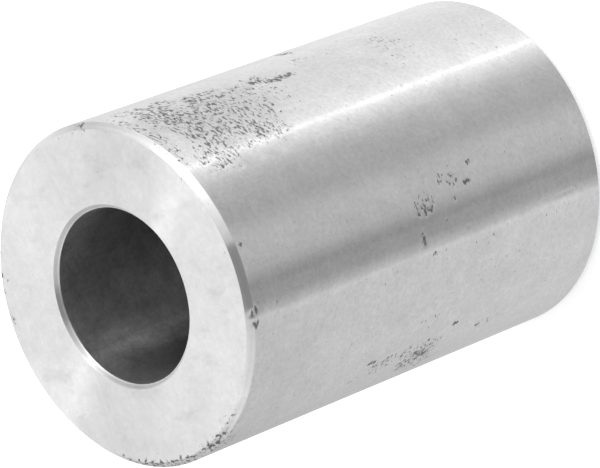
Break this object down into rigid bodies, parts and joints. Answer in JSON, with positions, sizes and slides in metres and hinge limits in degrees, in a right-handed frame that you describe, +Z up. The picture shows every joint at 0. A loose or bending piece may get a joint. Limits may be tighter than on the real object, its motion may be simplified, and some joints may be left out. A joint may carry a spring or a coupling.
{
  "type": "spacer sleeve",
  "caption": "Thick-walled turned steel sleeve with a plain through bore, faced ends and broken edges, which holds two faces apart round a bolt.",
  "frame": {"origin": "centre of the lower end face, where the bore's axis meets the surface that the sleeve stands on", "axes": "+Z up the bore's axis, from the lower end face to the upper one; X and Y are alike, because the shape is round"},
  "size_m": [0.0254, 0.0254, 0.0381],
  "materials": {
    "turned_steel": "fine-turned and lightly ground bare steel, with small pits of dark mill skin left along the outside"
  },
  "bodies": {
    "root": {"sleeve": "turned_steel"}
  },
  "joints": []
}
